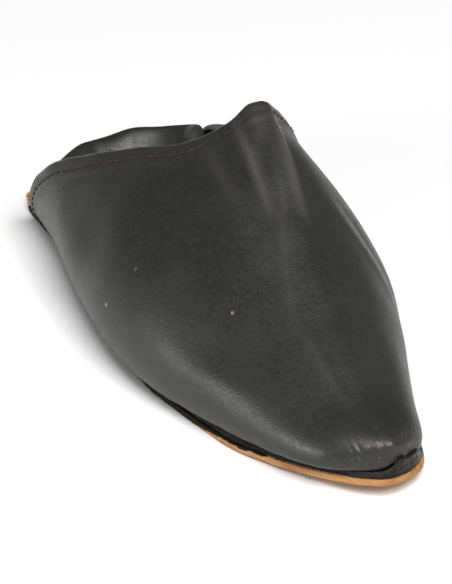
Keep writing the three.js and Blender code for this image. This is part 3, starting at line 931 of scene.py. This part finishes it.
def tan_dark_band(n):
    """Where the tan edge is made near black, up to a line: most of all at the waist, and less towards the
    toe.
    """
    height = n.add("ShaderNodeSeparateXYZ", {"Vector": n.position()}).outputs["Z"]
    place = n.attribute("place")
    # the sole's rise at the toe, in metres, is taken off first
    share = n.math("MAXIMUM", n.math("SUBTRACT", place, SPRING_START), 0.0)
    lift = n.math("MULTIPLY", n.math("POWER", share, 2.0), TOE_SPRING * MM / (1 - SPRING_START) ** 2)
    line = n.math("ADD", n.ramp(place, 0.70, 0.77, -0.0004, 0.0017), n.ramp(place, 0.77, 0.93, 0.0, 0.0011))
    line = n.math("ADD", line, n.ramp(n.noise(220, 4), 0.3, 0.7, -0.0004, 0.0004))
    return n.ramp(n.math("SUBTRACT", n.math("SUBTRACT", height, lift), line), -0.0001, 0.0002)


def tan_leather():
    n = Nodes("tan_sole_leather")
    layers = n.noise(500, 5, 0.65, (0.25, 0.25, 3.0))
    tone = n.mix(n.ramp(n.noise(60, 4), 0.3, 0.7), *TAN)
    tone = n.mix(n.ramp(layers, 0.42, 0.62, 0, 0.6), tone, TAN_LAYERS)
    # the tan edge is made near black up to a line, which is lowest at the heel and waist
    dark_band = tan_dark_band(n)
    fibres = n.bump(layers, 0.6, 0.0006)
    return n.finish(
        Base_Color=n.mix(dark_band, tone, DARK_OVER_TAN),
        Roughness=n.ramp(dark_band, 0, 1, 0.82, 0.7),
        Specular_IOR_Level=n.ramp(dark_band, 0, 1, 0.4, 0.15),
        Normal=n.bump(n.noise(1500, 3), 0.3, 0.0002, fibres),
    )


def black_edge():
    """Rough dyed leather with brown crumbs on it, glossier at the toe."""
    n = Nodes("black_sole_edge")
    tone = n.mix(n.ramp(n.noise(240, 4), 0.4, 0.7), *RUNNER)
    crumbs = n.math("MULTIPLY", n.ramp(n.noise(520, 4, 0.7), 0.62, 0.70), 0.3)
    place = n.attribute("place")
    gloss = n.math("MULTIPLY", n.ramp(place, 0.93, 0.99), 0.32)
    return n.finish(
        Base_Color=n.mix(crumbs, tone, CRUMBS),
        Roughness=n.math("SUBTRACT", n.ramp(n.noise(130, 3), 0.3, 0.7, 0.5, 0.75), gloss),
        Specular_IOR_Level=n.ramp(place, 0.93, 0.99, 0.15, 0.3),
        Normal=n.bump(n.noise(420, 5, 0.65, (1, 1, 2)), 0.9, 0.0009),
    )


def insole_leather():
    n = Nodes("insole_leather")
    tone = n.mix(n.ramp(n.noise(40, 5), 0.3, 0.7), LINING, INSOLE_WORN)
    grain = n.bump(n.cells(800, "SMOOTH_F1"), 0.3, 0.0003)
    return n.finish(Base_Color=tone, Roughness=0.72, Normal=n.bump(n.noise(160, 4), 0.2, 0.0006, grain))


# ---------------------------------------------------------------- the pieces
def dress(piece, material, slot, *nodes):
    piece.data.materials.append(material)
    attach(piece, "root")
    if nodes:
        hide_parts(*nodes)


leather = black_leather()
upper, upper_face, upper_edge = build_upper()
dress(upper, leather, "black_upper_leather", "upper")
dress(build_quarter(), leather, "black_upper_leather", "heel_quarter")
stitch_thread = thread("stitch_thread", *STITCH_THREAD)
dress(build_stitches(upper_face, upper_edge), stitch_thread, "black_upper_leather")
tack_thread = thread("tack_thread", *TACK_THREAD_TONES)
dress(build_tacks(upper_face), tack_thread, "tan_sole_leather")
dress(build_outsole(), tan_leather(), "tan_sole_leather", "outsole")
dress(build_midsole(), black_edge(), "black_sole_edge", "midsole")
dress(build_insole(), insole_leather(), "lining_leather", "insole")


# ---------------------------------------------------------------- studio
# From here on, lengths are in metres
FLOOR_REACH = 4.0
FLOOR_WHITE = rgba(0.93, 0.93, 0.93)
WORLD_STRENGTH = 0.12


def make_floor():
    mesh = bpy.data.meshes.new("floor")
    corners = [(x * FLOOR_REACH, y * FLOOR_REACH, 0) for x, y in [(-1, -1), (1, -1), (1, 1), (-1, 1)]]
    mesh.from_pydata(corners, [], [(0, 1, 2, 3)])
    floor = bpy.data.objects.new("floor", mesh)
    bpy.context.scene.collection.objects.link(floor)
    n = Nodes("floor_white")
    mesh.materials.append(n.finish(Base_Color=FLOOR_WHITE, Roughness=0.9))


def aim(thing, place, target):
    thing.location = place
    thing.rotation_euler = (Vector(target) - Vector(place)).to_track_quat("-Z", "Y").to_euler()


def softbox(name, place, target, width, height, power):
    light = bpy.data.lights.new(name, "AREA")
    light.shape = "RECTANGLE"
    light.size = width
    light.size_y = height
    light.energy = power
    lamp = bpy.data.objects.new(name, light)
    bpy.context.scene.collection.objects.link(lamp)
    aim(lamp, place, target)


VIEW_AZIMUTH = 24.95  # the camera stands this far round from the toe, to the lateral side
VIEW_ELEVATION = 29.52
VIEW_DISTANCE = 1.914
VIEW_ZOOM = 1.5  # the one shoe fills the frame
VIEW_PIVOT = (0.0041, 0.0039, 0.0206)  # the camera's place is measured from here
VIEW_TARGET = (0.0036, -0.0017, 0.0173)
FOCAL = 285.4
SENSOR = 36
VIEW_END = 20


LIGHTS = [
    # name, place, target, width, height, power in watts
    ("key_low_left", (0.0, -1.5, 0.27), (0.0, 0.0, 0.03), 0.9, 0.34, 12),
    ("top_front", (1.5, -0.2, 2.0), (0.05, 0.0, 0.0), 1.6, 1.6, 86),
    ("fill_right", (0.2, 1.5, 0.9), (0.0, 0.0, 0.03), 0.8, 0.8, 2.2),
]


def make_camera():
    azimuth = math.radians(VIEW_AZIMUTH)
    rise = math.radians(VIEW_ELEVATION)
    level = math.cos(rise)
    back = Vector((math.cos(azimuth) * level, -math.sin(azimuth) * level, math.sin(rise)))
    place = Vector(VIEW_PIVOT) + back * VIEW_DISTANCE
    data = bpy.data.cameras.new("camera")
    data.lens = FOCAL * VIEW_ZOOM
    data.sensor_fit = "HORIZONTAL"
    data.sensor_width = SENSOR
    data.clip_end = VIEW_END
    camera = bpy.data.objects.new("camera", data)
    bpy.context.scene.collection.objects.link(camera)
    aim(camera, place, VIEW_TARGET)
    bpy.context.scene.camera = camera


def make_world():
    world = bpy.data.worlds.new("studio")
    bpy.context.scene.world = world
    world.use_nodes = True
    background = world.node_tree.nodes["Background"]
    background.inputs["Color"].default_value = rgba(1, 1, 1)
    background.inputs["Strength"].default_value = WORLD_STRENGTH


make_floor()
make_camera()
make_world()
for light in LIGHTS:
    softbox(*light)
bpy.context.scene.view_settings.view_transform = "Standard"
